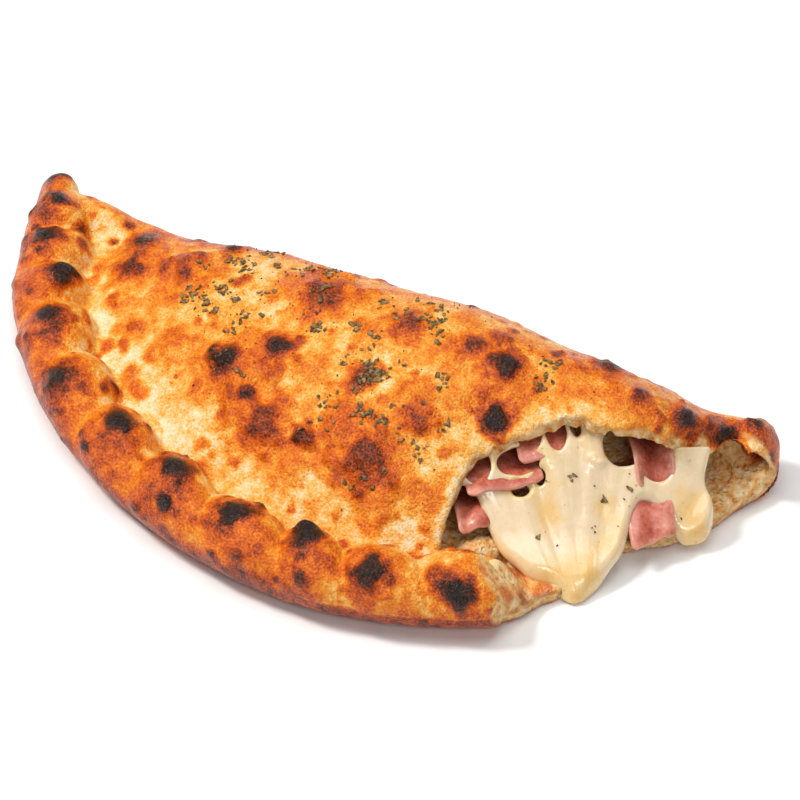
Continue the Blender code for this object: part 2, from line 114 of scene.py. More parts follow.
def middle_line(angle):
    """Points on the rim's middle line, in pattern coordinates: the row's less (MIDDLE_X, FOLD_Y)."""
    c, s = np.cos(angle), np.sin(angle)
    left = -LEFT_REACH * c - FLARE * np.maximum(1 - s / FLARE_START, 0) ** 2
    right = RIGHT_REACH * np.maximum(-c, 0) ** (2 / RIGHT_POWER)
    return np.stack([np.where(c > 0, left, right) + LEAN * s, -FRONT_REACH * s], -1)


def outward(angle):
    run = middle_line(angle + 0.01) - middle_line(angle - 0.01)
    run /= np.linalg.norm(run, axis=-1, keepdims=True)
    return np.stack([run[..., 1], -run[..., 0]], -1)


ANGLES = np.linspace(0, np.pi, 481)
MIDDLE = middle_line(ANGLES)
OUTWARD = outward(ANGLES)
TRAVELLED = np.concatenate([[0], np.cumsum(np.linalg.norm(np.diff(MIDDLE, axis=0), axis=1))])


def near_rim(x, y):
    """How far pattern points lie inside the rim's middle line, and the angle of the nearest place on it."""
    points = np.stack([np.ravel(x), np.ravel(y)], 1)
    inset, turn = np.empty(len(points)), np.empty(len(points))
    for k in range(0, len(points), 8000):
        part = points[k : k + 8000]
        gaps = ((part[:, None] - MIDDLE[None]) ** 2).sum(2)
        nearest = gaps.argmin(1)
        away = ((part - MIDDLE[nearest]) * OUTWARD[nearest]).sum(1)
        inset[k : k + 8000] = np.where(away > 0, -1, 1) * np.sqrt(gaps.min(1))
        turn[k : k + 8000] = ANGLES[nearest]
    return inset.reshape(np.shape(x)), turn.reshape(np.shape(x))


def fold_edge(x):
    depth, place, width = FOLD_DIP
    return FOLD_BULGE * (1 - (x / LEFT_REACH) ** 6) - depth * np.exp(-(((x - place) / width) ** 2))


def lid_height(x, y, wall=0.0):
    crown = DOME_HEIGHT - LEFT_SINK * np.maximum(SINK_START - x, 0)
    rise = mix(RISE_LEFT, RISE_RIGHT, blend(*STEEPENS, x))
    climb = np.clip(np.maximum(near_rim(x, y)[0] - GROOVE_INSET, 0) / rise, 0, 1)
    z = GROOVE_HEIGHT + (crown - GROOVE_HEIGHT) * (1 - (1 - climb) ** 2)
    back = np.clip((fold_edge(x) - y - wall) / (FALL - wall), 0, 1)
    return FOLD_HEIGHT + (z - wall - FOLD_HEIGHT) * np.sqrt(1 - (1 - back) ** 2)


def base_height(x, y, wall=0.0):
    back = np.clip((fold_edge(x) - y - wall) / (BASE_ROUNDING - wall / 2), 0, 1)
    return FOLD_HEIGHT - (FOLD_HEIGHT - wall) * np.sqrt(1 - (1 - back) ** 2)


def eased(n, start, end):
    return start + (end - start) * (1 - np.cos(np.linspace(0, np.pi, n + 1))) / 2


def half_moon(front_inset, back_inset, top, low, span, rows=150, across=70):
    """Points and quads of a closed body over a half-moon, as the CAD model makes them."""
    angles = eased(rows, span[0] * np.pi, span[1] * np.pi)
    front = middle_line(angles) - outward(angles) * front_inset(angles)[:, None]
    x_back = front[:, 0] * FOLD_SHARE
    y_back = fold_edge(x_back) - back_inset
    c = eased(across, 0, 1)[None]
    x = front[:, :1] + (x_back[:, None] - front[:, :1]) * c
    y = front[:, 1:] + (y_back[:, None] - front[:, 1:]) * c
    high, deep = top(x, y), low(x, y)
    middle = (high + deep) / 2
    high = np.maximum(high, deep + THINNEST)
    high[:, [0, -1]] = deep[:, [0, -1]] = middle[:, [0, -1]]
    place = [x + MIDDLE_X, y + FOLD_Y]
    points = np.concatenate([np.stack([*place, z], -1).reshape(-1, 3) for z in (high, deep)])
    n, m = x.shape
    index = np.arange(n * m).reshape(n, m)
    quads = [np.stack([index[:-1, :-1], index[1:, :-1], index[1:, 1:], index[:-1, 1:]], -1).reshape(-1, 4)]
    quads.append(quads[0][:, ::-1] + n * m)
    for row in (index[0], index[-1, ::-1]):
        quads.append(np.stack([row[:-1], row[1:], row[1:] + n * m, row[:-1] + n * m], -1))
    return points, np.concatenate(quads)


def along_out(x, y):
    """Row coordinates -> (along the mouth, out of the mouth)."""
    x, y = x - MOUTH_X, y - MOUTH_Y
    return x * MOUTH_COS + y * MOUTH_SIN, x * MOUTH_SIN - y * MOUTH_COS


def from_mouth(along, out):
    return (
        along * MOUTH_COS + out * MOUTH_SIN + MOUTH_X,
        along * MOUTH_SIN - out * MOUTH_COS + MOUTH_Y,
    )


def curve(points, at):
    points = np.array(points, float)
    return np.interp(at, points[:, 0], points[:, 1])


def torn_floor(x, y):
    along, _ = along_out(x, y)
    ramp = (RIM_HEIGHT + 2) * (1 - (along - STUMP[0]) / (STUMP[1] - STUMP[0]))
    flat = mix(*TORN_FLOOR, blend(*FLOOR_STEP, along))
    ramp = np.clip(ramp, flat, RIM_HEIGHT + 3)
    inset = near_rim(x - MIDDLE_X, y - FOLD_Y)[0]
    return flat + (ramp - flat) * (1 - blend(*STUMP_INSET, inset))


# ---------------------------------------------------------------- noise and solids from fields


def noise(points, size, seed, stretch=(1, 1, 1)):
    """Smooth noise from -1 to 1 with features of this size."""
    lattice = np.random.default_rng(seed).uniform(-1, 1, (32, 32, 32)).astype(np.float32)
    place = points / (size * np.array(stretch))
    cell = np.floor(place).astype(int)
    t = place - cell
    t = t * t * (3 - 2 * t)
    found = 0
    for dx in (0, 1):
        for dy in (0, 1):
            for dz in (0, 1):
                weight = (
                    np.abs(1 - dx - t[..., 0]) * np.abs(1 - dy - t[..., 1]) * np.abs(1 - dz - t[..., 2])
                )
                corner = (cell + (dx, dy, dz)) % 32
                found = found + weight * lattice[corner[..., 0], corner[..., 1], corner[..., 2]]
    return found


def layered(points, size, seed, octaves=3):
    found = 0
    for k in range(octaves):
        found = found + noise(points, size / 2**k, seed + 17 * k) / 2**k
    return found / 1.5


def field_of(points, quads, voxel, origin, shape, band):
    """The distance to a closed mesh on a grid of voxels, negative inside."""
    grid = openvdb.FloatGrid.createLevelSetFromPolygons(
        points=points.astype(np.float32),
        quads=quads.astype(np.uint32),
        transform=openvdb.createLinearTransform(voxelSize=voxel),
        halfWidth=band,
    )
    field = np.empty(shape, np.float32)
    grid.copyToArray(field, ijk=origin)
    return field


def surface_of(field, voxel, origin, adaptivity=0.0):
    """Points, triangles and quads of the surface where the field is zero."""
    grid = openvdb.FloatGrid(float(field.max()))
    grid.transform = openvdb.createLinearTransform(voxelSize=voxel)
    grid.copyFromArray(np.ascontiguousarray(field, np.float32), ijk=origin)
    return grid.convertToPolygons(isovalue=0.0, adaptivity=adaptivity)


def build_mesh(name, points, faces, attributes=None):
    """A smooth-shaded object from points in mm and a list of face arrays."""
    mesh = bpy.data.meshes.new(name)
    loops = np.concatenate([np.ravel(f) for f in faces]).astype(np.int32)
    sizes = np.concatenate([np.full(len(f), f.shape[1]) for f in faces])
    mesh.vertices.add(len(points))
    mesh.vertices.foreach_set("co", (points * MM).astype(np.float32).ravel())
    mesh.loops.add(len(loops))
    mesh.loops.foreach_set("vertex_index", loops)
    mesh.polygons.add(len(sizes))
    mesh.polygons.foreach_set("loop_start", np.concatenate([[0], np.cumsum(sizes)[:-1]]).astype(np.int32))
    mesh.update(calc_edges=True)
    mesh.validate()
    mesh.shade_smooth()
    for key, values in (attributes or {}).items():
        layer = mesh.attributes.new(key, "FLOAT", "POINT")
        layer.data.foreach_set("value", np.asarray(values, np.float32))
    obj = bpy.data.objects.new(name, mesh)
    bpy.context.scene.collection.objects.link(obj)
    return obj


def vertex_normals(points, faces):
    normals = np.zeros_like(points)
    for f in faces:
        if len(f) == 0:
            continue
        diagonal_a = points[f[:, 2]] - points[f[:, 0]]
        diagonal_b = points[f[:, -1]] - points[f[:, 1]]
        face_normal = np.cross(diagonal_a, diagonal_b)
        for k in range(f.shape[1]):
            np.add.at(normals, f[:, k], face_normal)
    return normals / np.maximum(np.linalg.norm(normals, axis=1, keepdims=True), 1e-9)


def ellipsoid_field(x, y, z, centre, radii):
    """Roughly the distance to an ellipsoid."""
    k = np.sqrt(sum(((p - c) / r) ** 2 for p, c, r in zip((x, y, z), centre, radii)))
    return (k - 1) * min(radii)


def chain_field(x, y, z, beads):
    """The distance to round rods that join (x, y, z, radius) beads in a row."""
    field = 1e3
    for (ax, ay, az, ar), (bx, by, bz, br) in zip(beads, beads[1:]):
        ex, ey, ez = bx - ax, by - ay, bz - az
        t = np.clip(((x - ax) * ex + (y - ay) * ey + (z - az) * ez) / (ex**2 + ey**2 + ez**2), 0, 1)
        gap = np.sqrt((x - ax - t * ex) ** 2 + (y - ay - t * ey) ** 2 + (z - az - t * ez) ** 2)
        field = np.minimum(field, gap - mix(ar, br, t))
    return field


def sample(field, points, voxel, origin):
    """The field's value at points in mm."""
    place = points / voxel - np.array(origin)
    cell = np.clip(np.floor(place).astype(int), 0, np.array(field.shape) - 2)
    t = np.clip(place - cell, 0, 1)
    found = 0
    for dx in (0, 1):
        for dy in (0, 1):
            for dz in (0, 1):
                weight = (
                    np.abs(1 - dx - t[:, 0]) * np.abs(1 - dy - t[:, 1]) * np.abs(1 - dz - t[:, 2])
                )
                found = found + weight * field[cell[:, 0] + dx, cell[:, 1] + dy, cell[:, 2] + dz]
    return found


# ---------------------------------------------------------------- the crust

# Where the lid runs into the torn tip: along, out, height, radius
LID_END = ((106, 24, 23, 12), (118, 26, 20.5, 12), (128, 27, 16.5, 11.5), (136, 26, 14, 10.5), (143, 25, 12, 9))
# What opens the pocket under it: along, out, height, radius
LID_END_ROOM = ((96, 26, 18, 11), (108, 27, 17, 11.5), (118, 29, 14.5, 11), (126, 30, 12.5, 8))
VOXEL, BAND = 1.0, 8
ORIGIN, SHAPE = (-165, -85, -6), (330, 172, 66)
CRIMP_DEPTH = 6.2
# Where the skin of the lid's end is torn back from the crumb, (along, out)
SKIN_TEAR = ((108, 60), (113, 38), (118, 32.5), (123, 30.5), (130, 29), (138, 29), (146, 31), (152, 37), (156, 60))
FLOOR_LUMP = (45, 54, 8, 8, 6, 5)  # along, out, height and radii
CAVITY_BACK = 3  # out of the mouth, where the open cavity ends

# The rim's lobes: degrees of the half-moon that each takes, and the shorter ones near the whole tip
LOBE_TURN, CROWDED_TURN, CROWDED_UNTIL = 12.4, 8.2, 26
# The charred blister on each lobe, from the whole tip: degrees round the roll (0 outward, 90 up), radius
LOBE_CHAR = ((80, 3.4), (95, 2.6), (80, 2.6), (110, 3.2), (80, 3.8), (65, 4.2), (95, 3.4), (100, 3.8), (95, 3.8),
             (105, 3.8), (65, 3.6), (50, 3.3))
FIRST_LOBE = -4  # counted from where the crowded ones end
# The main blisters on the lid: x, y, radius, darkness
LID_BLISTERS = (
    (-100, 50, 4.5, 0.88), (-95, 35, 3.5, 0.84), (-75, 40, 6, 0.74), (-65, 55, 3, 0.88), (-35, 0, 4, 1),
    (-20, 10, 4, 0.93), (-20, -10, 3, 0.88), (-10, -20, 6, 0.76), (5, -20, 3, 0.84), (30, -20, 7.5, 0.78),
    (15, 5, 3, 0.84), (-15, 35, 7, 0.72), (20, 30, 4, 0.76), (45, 30, 3.5, 0.8), (60, 30, 3.5, 0.98),
    (65, 10, 3.5, 1), (40, 0, 4, 0.72), (90, 50, 4, 0.86), (105, 40, 3, 0.8), (120, 45, 4, 0.92),
    (130, 55, 4.5, 0.9), (142, 62, 4, 0.96), (-80, 10, 3, 0.62), (-70, -10, 2, 0.6),
)
# Broad golden to orange swellings round and between them: x, y, radius, darkness
LID_TOASTED = (
    (-30, 0, 16, 0.62), (-15, -15, 12, 0.6), (20, -15, 14, 0.64), (-95, 40, 14, 0.62), (-75, 40, 9, 0.6),
    (-60, 5, 10, 0.52), (-25, 40, 12, 0.62), (10, 25, 8, 0.52), (35, 5, 9, 0.56), (60, 25, 12, 0.62),
    (80, 40, 10, 0.58), (100, 40, 11, 0.58), (125, 50, 12, 0.62), (145, 62, 12, 0.66), (40, -30, 8, 0.52), (-90, 20, 8, 0.46),
    (5, -30, 8, 0.5), (50, 10, 8, 0.5), (-5, 5, 8, 0.5),
)


def lobe_count(turn):
    """Lobes passed along the rim, in degrees of the half-moon from where the crowded ones end."""
    past = turn - CROWDED_UNTIL
    return np.where(past > 0, past / LOBE_TURN, past / CROWDED_TURN)


def lobe_middle(number):
    return CROWDED_UNTIL + (number + 0.5) * (LOBE_TURN if number >= 0 else CROWDED_TURN)


def lobes(turn, face):
    """0 in the creases of the rim to 1 on its lobes, and each lobe's own size."""
    phase = lobe_count(np.degrees(turn)) + CRIMP_SLANT * face / np.pi
    return np.abs(np.sin(np.pi * phase)) ** 0.55, 1 + 0.2 * np.sin(2.4 * phase + 1)


def rim_body(rings=560, sides=72):
    """The rolled edge: a flattened roll round the front, pinched into slanting lobes."""
    angles = np.linspace(-LEFT_PAST, np.pi + RIGHT_PAST, rings + 1)
    centre, away = middle_line(angles), outward(angles)
    left = angles < np.pi / 2
    full = np.sin(np.clip(LEFT_REACH * np.minimum(angles, np.pi - angles) / TIP_TAPER, 0, 1) * np.pi / 2)
    half_w = mix(np.where(left, LEFT_TIP[0], RIGHT_TIP[0]), RIM_WIDTH, full) / 2
    half_h = mix(np.where(left, LEFT_TIP[1], RIGHT_TIP[1]), RIM_HEIGHT, full) / 2
    end = np.clip(np.minimum(np.arange(rings + 1), rings - np.arange(rings + 1)) / (rings * 4 / 88), 0, 1)
    closing = (0.3 + 0.7 * np.sqrt(1 - (1 - end) ** 2))[:, None]
    turn = np.linspace(0, 2 * np.pi, sides, endpoint=False)[None]
    face = (turn - np.radians(135) + np.pi) % (2 * np.pi) - np.pi
    inner_top = 0.5 + 0.5 * np.cos(face)
    lobe, size = lobes(angles[:, None], face)
    crimp = CRIMP_DEPTH * inner_top * size * (lobe - 0.72) * np.maximum(full, 0.45)[:, None]
    reach = (half_w[:, None] + crimp) * np.cos(turn) * closing
    z = np.maximum(half_h[:, None] + (half_h[:, None] + crimp) * np.sin(turn) * closing, 0)
    x = centre[:, :1] + away[:, :1] * reach + MIDDLE_X
    y = centre[:, 1:] + away[:, 1:] * reach + FOLD_Y
    points = np.stack([x, y, z], -1).reshape(-1, 3)
    index = np.arange(len(points)).reshape(rings + 1, sides)
    ahead = np.roll(index, -1, 1)
    quads = [np.stack([index[:-1], ahead[:-1], ahead[1:], index[1:]], -1).reshape(-1, 4)]
    for row in (index[0, ::-1], index[-1]):
        hub = np.full(sides, row[0])
        quads.append(np.stack([hub, row, np.roll(row, -1), np.roll(row, -1)], -1)[1:-1])
    return points, np.concatenate(quads)


def on_roll(turn, roll):
    """A point on the rim's surface."""
    angle = np.radians(turn)
    centre, away = middle_line(angle), outward(angle)
    x, y = centre + away * RIM_WIDTH / 2 * np.cos(np.radians(roll)) + (MIDDLE_X, FOLD_Y)
    return x, y, RIM_HEIGHT / 2 * (1 + np.sin(np.radians(roll)))


def crust_fields():
    """The whole dough, and the dough with its corner torn and its pocket opened, on one grid."""
    grid = (VOXEL, ORIGIN, SHAPE, BAND)
    dome = field_of(
        *half_moon(lambda t: 0 * t, 0, lid_height, base_height, DOME_SPAN), *grid
    )
    whole = smooth_min(dome, field_of(*rim_body(), *grid), 2.2)
    x, y, z = np.meshgrid(*(o + np.arange(n) for o, n in zip(ORIGIN, SHAPE)), indexing="ij", sparse=True)
    for sx, sy, sz, *radii in SHOULDERS:
        lump = ellipsoid_field(x, y, z, (sx + MIDDLE_X, sy + FOLD_Y, sz), radii)
        whole = smooth_min(whole, lump, 4)
    bridge = [(*from_mouth(a, o), bz, r) for a, o, bz, r in LID_END]
    whole = smooth_min(whole, chain_field(x, y, z, bridge), 4)
    room = field_of(
        *half_moon(
            lambda t: mix(POCKET_INSET, POCKET_TIP_INSET, blend(0.6 * np.pi, np.pi, t)),
            FOLD_WALL,
            lambda px, py: lid_height(px, py, LID_WALL),
            lambda px, py: base_height(px, py, BASE_WALL),
            POCKET_SPAN,
        ),
        *grid,
    )
    torn = whole.copy()
    near = np.s_[185:, 20:150]
    px, py = np.meshgrid(x[185:, 0, 0], y[0, 20:150, 0], indexing="ij")
    along, out = (v[..., None] for v in along_out(px, py))
    spots = np.stack(np.broadcast_arrays(px[..., None], py[..., None], z), -1)
    ragged = 1.3 * noise(spots, 7, 5) + 0.9 * noise(spots, 3, 6)
    floor = torn_floor(px, py)[..., None] + 0.5 * noise(spots, 5, 8)
    upper = curve(UPPER_TEAR, along) + ragged
    lower = curve(LOWER_TEAR, along) + 0.8 * ragged
    part = smooth_max(torn[near], out - lower - 40 * (along < 40), 1.2)
    lid_off = smooth_min(smooth_min(out - upper, z - floor, 1.5), along - 28, 1)
    part = smooth_max(part, lid_off, 1.2)
    inside = smooth_max(room[near], CAVITY_BACK - out, 5)
    inside = smooth_max(inside, 30 - along, 5)
    under = [(*from_mouth(a, o), uz, r) for a, o, uz, r in LID_END_ROOM]
    under = chain_field(px[..., None], py[..., None], z, under)
    inside = smooth_min(inside, smooth_max(under, torn_floor(px, py)[..., None] - z, 3), 3)
    x0, y0 = from_mouth(TIP_HOLLOW[0], TIP_HOLLOW[1])
    u = (px[..., None] - x0) * MOUTH_COS + (py[..., None] - y0) * MOUTH_SIN
    v = -(px[..., None] - x0) * MOUTH_SIN + (py[..., None] - y0) * MOUTH_COS
    hollow = ellipsoid_field(u, v, z - TIP_HOLLOW[2], (0, 0, 0), TIP_HOLLOW[3:])
    inside = smooth_min(inside, hollow, 2)
    part = smooth_max(part, -inside, 1.5)
    lx, ly = from_mouth(FLOOR_LUMP[0], FLOOR_LUMP[1])
    u = (px[..., None] - lx) * MOUTH_COS + (py[..., None] - ly) * MOUTH_SIN
    v = -(px[..., None] - lx) * MOUTH_SIN + (py[..., None] - ly) * MOUTH_COS
    part = smooth_min(part, ellipsoid_field(u, v, z - FLOOR_LUMP[2], (0, 0, 0), FLOOR_LUMP[3:]), 2)
    deep = np.clip((-whole[near] - 0.6) / 1.5, 0, 1)
    pits = np.maximum(noise(spots, 3.4, 11) - 0.35, 0) * 2.6 + 0.35 * noise(spots, 2.4, 12)
    torn[near] = part + pits * deep
    return whole, torn


def blister_places():
    """A charred blister on every lobe of the rim with smaller ones round it, then the lid's."""
    rng = np.random.default_rng(17)
    for number, (roll, radius) in enumerate(LOBE_CHAR, FIRST_LOBE):
        turn = lobe_middle(number)
        yield np.array(on_roll(turn, roll)), 1.15 * radius, rng.uniform(0.96, 1.03)
        for low, high, chance in ((5, 55, 1), (5, 60, 0.7), (60, 110, 0.5), (120, 165, 0.8)):
            place = on_roll(turn + rng.uniform(-4, 4), rng.uniform(low, high))
            if rng.random() < chance:
                yield np.array(place), rng.uniform(1.3, 3.0), rng.uniform(0.68, 0.97)
    for x, y, radius, dark in LID_BLISTERS:
        z = lid_height(np.array([x - MIDDLE_X]), np.array([y - FOLD_Y]))[0]
        yield np.array([x, y, z]), radius, dark


def make_crust():
    whole, torn = crust_fields()
    points, triangles, quads = surface_of(torn, VOXEL, ORIGIN)
    points = points.astype(float)
    faces = [f.astype(int) for f in (triangles, quads) if len(f)]
    depth = -sample(whole, points, VOXEL, ORIGIN)
    crumb = blend(0.5, 1.6, depth)
    normals = vertex_normals(points, faces)
    x, y, z = points.T
    along, out = along_out(x, y)
    bared = blend(-0.8, 0.8, out - curve(SKIN_TEAR, along) + 1.2 * noise(points, 4, 35)) * (z > 12)
    bared *= (out < curve(UPPER_TEAR, along) + 2) & (along > 108)
    crumb = np.maximum(crumb, bared)
    inset, turn = near_rim(x - MIDDLE_X, y - FOLD_Y)
    behind = fold_edge(x - MIDDLE_X) - (y - FOLD_Y)
    on_rim = 1 - blend(10, 15, inset)
    above = blend(-0.55, -0.1, normals[:, 2]) * blend(0.5, 4, z)
    skin = (1 - crumb) * above
    swell = layered(points, 23, 3, 2)
    ripple = noise(points, 7.5, 4)
    lift = mix(1.25 * swell + 0.35 * ripple, 0.7 * noise(points, 12, 7) + 0.3 * ripple, on_rim)
    # how far the dough is baked, from pale 0 to charred 1; on the rim's low outer side it also holds painted shade
    toast_and_shade = 0.33 + 0.1 * swell + 0.12 * noise(points, 13, 21) + 0.1 * noise(points, 6, 22)
    pale = (1 - on_rim) * (1 - blend(2, 26, inset - 12))
    toast_and_shade = toast_and_shade - 0.24 * pale + 0.3 * (1 - blend(2, 18, behind)) * (1 - on_rim)
    face = (np.arctan2(z - RIM_HEIGHT / 2, -inset) - np.radians(135) + np.pi) % (2 * np.pi) - np.pi
    lobe = lobes(turn, face)[0]
    lobed = 0.42 + 0.24 * lobe + 0.12 * noise(points, 9, 23) + 0.1 * noise(points, 4, 24)
    # the rim's low outer side is made darker: partly real browning where it lay in the oven, partly painted shade
    low_side_bake_and_shade = blend(17, 6, z) * blend(4, -4, inset)
    rim_toast_and_shade = lobed - 0.3 * blend(-1, 9, inset) + 0.42 * low_side_bake_and_shade
    rim_toast_and_shade = smooth_min(rim_toast_and_shade, 0.76, 0.15)
    toast_and_shade = mix(toast_and_shade, rim_toast_and_shade, on_rim)
    near_tear = blend(-9, -1, out - curve(UPPER_TEAR, along)) * blend(110, 90, along) * (z > 12)
    toast_and_shade -= 0.2 * near_tear
    grain = 0.42 * noise(points, 4.8, 31) + 0.24 * noise(points, 2.4, 32)
    for bx, by, radius, dark in LID_TOASTED:
        gap = np.hypot(x - bx, y - by) / radius * (1 + 0.7 * grain)
        lift += 0.2 * radius * np.exp(-1.8 * gap**2) * (z > 10)
        halo = 0.9 * dark * np.interp(gap, (0, 0.5, 0.85, 1.1, 1.5), (1.04, 0.98, 0.84, 0.66, 0))
        toast_and_shade = np.maximum(toast_and_shade, halo * (z > 10))
    for place, radius, dark in blister_places():
        nearest = (np.linalg.norm(points - place, axis=1) + 99 * (crumb > 0.5)).argmin()
        gap = np.linalg.norm(points - points[nearest], axis=1) / radius
        reached = gap < 5
        gap = gap[reached] * (1 + grain[reached])
        lift[reached] += 0.52 * radius**0.8 * np.exp(-0.9 * gap**2) + 0.14 * radius * np.exp(-0.3 * gap**2)
        char = dark * np.interp(gap, (0, 0.8, 1.02, 1.3, 1.9, 2.8), (1.05, 0.98, 0.86, 0.76, 0.62, 0.25))
        toast_and_shade[reached] = np.maximum(toast_and_shade[reached], char)
        crumb[reached] *= 1 - blend(0.45, 0.62, char)
    rng = np.random.default_rng(41)
    chosen = rng.choice(len(points), 560, replace=False)
    for i in chosen:
        if skin[i] < 0.5:
            continue
        radius = rng.uniform(0.8, 2.6)
        edge = on_rim[i] > 0.5 or behind[i] < 25
        dark = rng.uniform(0.52, 0.82) if edge else rng.uniform(0.45, 0.66)
        near = np.abs(x - x[i]) < 3 * radius
        gap = np.linalg.norm(points[near] - points[i], axis=1) / radius * (1 + grain[near])
        lift[near] += 0.2 * radius * np.exp(-1.2 * gap**2)
        toast_and_shade[near] = np.maximum(toast_and_shade[near], dark * np.interp(gap, (0, 0.8, 1.2, 2.2), (1, 0.95, 0.75, 0)))
    lift += 0.16 * noise(points, 2.3, 33)
    toast_and_shade += 0.12 * noise(points, 3.4, 25) * blend(0.85, 0.7, toast_and_shade)
    at_tip = blend(138, 152, np.abs(x))
    lift = lift * (1 - 0.8 * at_tip) - 2 * at_tip
    points -= normals * bared[:, None]
    blotch = blend(0.1, 0.5, noise(points, 8, 71)) * (along < 68) * (out > 62)
    crumb = crumb * (1 - 0.75 * blotch)
    toast_and_shade = np.maximum(toast_and_shade, 0.6 * blotch)
    base = blend(-0.6, -0.95, normals[:, 2])
    toast_and_shade = mix(toast_and_shade, 0.62 + 0.2 * noise(points, 14, 51) + 0.12 * noise(points, 4, 52), base)
    points += normals * (lift * skin)[:, None]
    points[:, 2] = np.maximum(points[:, 2], 0)
    return build_mesh("dough", points, faces, {"bake_and_shade": toast_and_shade, "crumb": crumb}), whole


# ---------------------------------------------------------------- the filling
# Cheese and ham are worked out in the mouth's own frame: along the mouth, out of it, up.

FINE = 0.6
FILL_ORIGIN = (50, -6, -3)  # in voxels
FILL_SHAPE = (182, 152, 80)
# Height of the stretched cheese by distance out of the mouth, at the whole end and the torn end
CURTAIN_LEFT = ((20, 37.5), (28, 35), (35, 30), (38, 27), (42, 24), (48, 19.5), (54, 15.5), (60, 12.5),
                (66, 10.8), (71, 8.8), (75, 5.6), (78, 2.5), (84, 1))
CURTAIN_RIGHT = ((20, 34), (28, 32), (34, 28.5), (38, 25), (42, 21), (48, 16.5), (54, 12), (58, 9), (62, 5),
                 (84, 4))
CURTAIN_TURNS = (95, 118)
LID_COVER = 2.6
# Outline of the cheese seen from above, (along, out)
CHEESE_OUTLINE = (
    (34, 16), (131, 16), (133, 30), (129, 37), (127, 43), (129, 50), (127, 56), (122, 59.5), (117, 59.5),
    (113.5, 56), (112.5, 51.5), (104, 46.5), (100, 51), (97.5, 56), (95.5, 61), (92, 66), (88, 69.5),
    (84, 72), (80.5, 75), (77, 78), (73, 78), (70.5, 74.5), (68, 70.5), (63.5, 69.5), (59, 66),
    (55, 61.5), (51, 57), (49, 52), (48, 46), (46, 40), (40, 38), (34, 36),
)
# Holes stretched open in it: along, out and the two radii
CHEESE_HOLES = (
    (47.5, 34, 5.2, 5.0), (62.5, 33.8, 7.3, 3.9), (67.3, 26.5, 4.2, 5.6), (76.6, 26.6, 3.6, 5.8),
    (83.9, 25.2, 1.9, 3.8), (99.4, 32.6, 7.2, 5.6), (110, 35, 6.9, 7.6), (69.3, 38.4, 2.0, 2.2),
    (62.0, 41.4, 2.9, 2.2),
)


def curtain_height(along, out):
    spread = [out + step for step in (-4, -2, 0, 2, 4)]  # rounds the corners of the two curves off
    left = sum(curve(CURTAIN_LEFT, o) for o in spread) / len(spread)
    right = sum(curve(CURTAIN_RIGHT, o) for o in spread) / len(spread)
    return mix(left, right, blend(*CURTAIN_TURNS, along))


def outline_depth(points, px, py):
    """Signed distance inside a closed outline."""
    points = np.array(points, float)
    for _ in range(2):  # round the corners off
        ahead = np.roll(points, -1, 0)
        points = np.stack([0.75 * points + 0.25 * ahead, 0.25 * points + 0.75 * ahead], 1).reshape(-1, 2)
    gap = np.full(px.shape, 1e9)
    inside = np.zeros(px.shape, bool)
    for (ax, ay), (bx, by) in zip(points, np.roll(points, -1, 0)):
        ex, ey = bx - ax, by - ay
        t = np.clip(((px - ax) * ex + (py - ay) * ey) / (ex * ex + ey * ey), 0, 1)
        gap = np.minimum(gap, np.hypot(px - ax - t * ex, py - ay - t * ey))
        crosses = (ay > py) != (by > py)
        inside ^= crosses & (px < ax + (py - ay) * ex / (ey if ey else 1e-9))
    return np.where(inside, gap, -gap)


